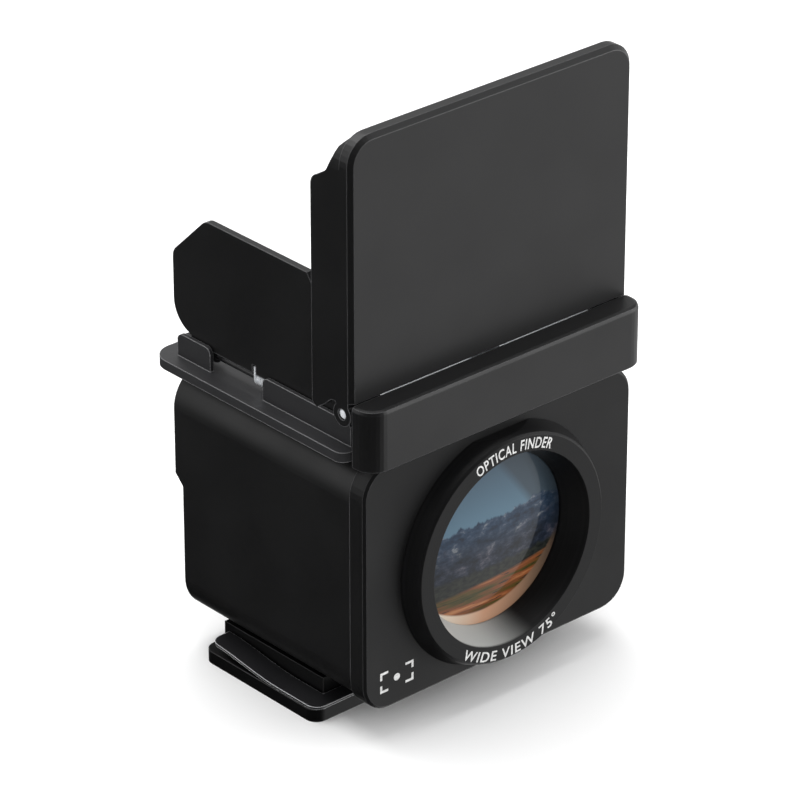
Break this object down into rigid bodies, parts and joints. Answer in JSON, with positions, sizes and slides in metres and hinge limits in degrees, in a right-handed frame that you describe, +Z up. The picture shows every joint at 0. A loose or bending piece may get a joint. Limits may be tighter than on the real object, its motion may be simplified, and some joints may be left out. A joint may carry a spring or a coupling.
{
  "type": "waist-level reflex finder",
  "caption": "Small black box-shaped optical finder for a camera's accessory shoe, with a front lens, an inner mirror and a top viewing lens under a folding hood.",
  "frame": {"origin": "under the middle of the whole finder with its hood open, on the bottom face of the shoe foot", "axes": "+Z up out of the viewing lens, -Y is the way the front lens looks, +X is to the right as seen from the front"},
  "size_m": [0.0388, 0.0354, 0.0683],
  "materials": {
    "black_aluminium": "satin",
    "ring_aluminium": "satin",
    "lens_glass": "polished",
    "mirror_glass": "polished",
    "black_steel": "satin",
    "leaf_steel": "satin",
    "bright_steel": "polished"
  },
  "bodies": {
    "housing": {"body_shell": "black_aluminium", "rear_cover": "black_aluminium", "cover_screws": "black_steel", "front_plate": "black_aluminium", "plate_dowels": "bright_steel", "lens_ring": "ring_aluminium", "objective_lens": "lens_glass", "lens_retainer": "ring_aluminium", "mirror": "mirror_glass", "mirror_bracket": "black_aluminium", "bracket_screws": "black_steel", "frame_mask": "black_aluminium", "viewing_lens": "lens_glass", "hood_tray": "black_aluminium", "tray_screws": "black_steel", "brow_bar": "black_aluminium", "brow_screws": "black_steel", "lid_rod": "bright_steel", "left_panel_rod": "black_steel", "right_panel_rod": "black_steel", "shoe_foot": "black_steel", "shoe_spring": "leaf_steel", "shoe_screws": "black_steel"},
    "lid": {"front_lid": "black_aluminium", "lid_spring": "bright_steel"},
    "panel_left": {"left_panel": "black_aluminium", "left_panel_spring": "bright_steel"},
    "panel_right": {"right_panel": "black_aluminium", "right_panel_spring": "bright_steel"}
  },
  "joints": [
    {"name": "lid_hinge", "type": "hinge", "parent": "housing", "child": "lid", "pos_m": [0, -0.0128, 0.038], "axis": [-1, 0, 0], "range_deg": [0, 90], "stiffness_Nm_per_rad": 0.0012, "springref_deg": -28.65, "deforming": ["lid_spring"]},
    {"name": "left_panel_hinge", "type": "hinge", "parent": "housing", "child": "panel_left", "pos_m": [-0.01595, 0, 0.0347], "axis": [0, 1, 0], "range_deg": [0, 90], "deforming": ["left_panel_spring"]},
    {"name": "right_panel_hinge", "type": "hinge", "parent": "housing", "child": "panel_right", "pos_m": [0.01595, 0, 0.0347], "axis": [0, -1, 0], "range_deg": [0, 90], "deforming": ["right_panel_spring"]}
  ],
  "couplings": [
    {"joint": "left_panel_hinge", "follows": "lid_hinge", "ratio": 1},
    {"joint": "right_panel_hinge", "follows": "lid_hinge", "ratio": 1}
  ]
}
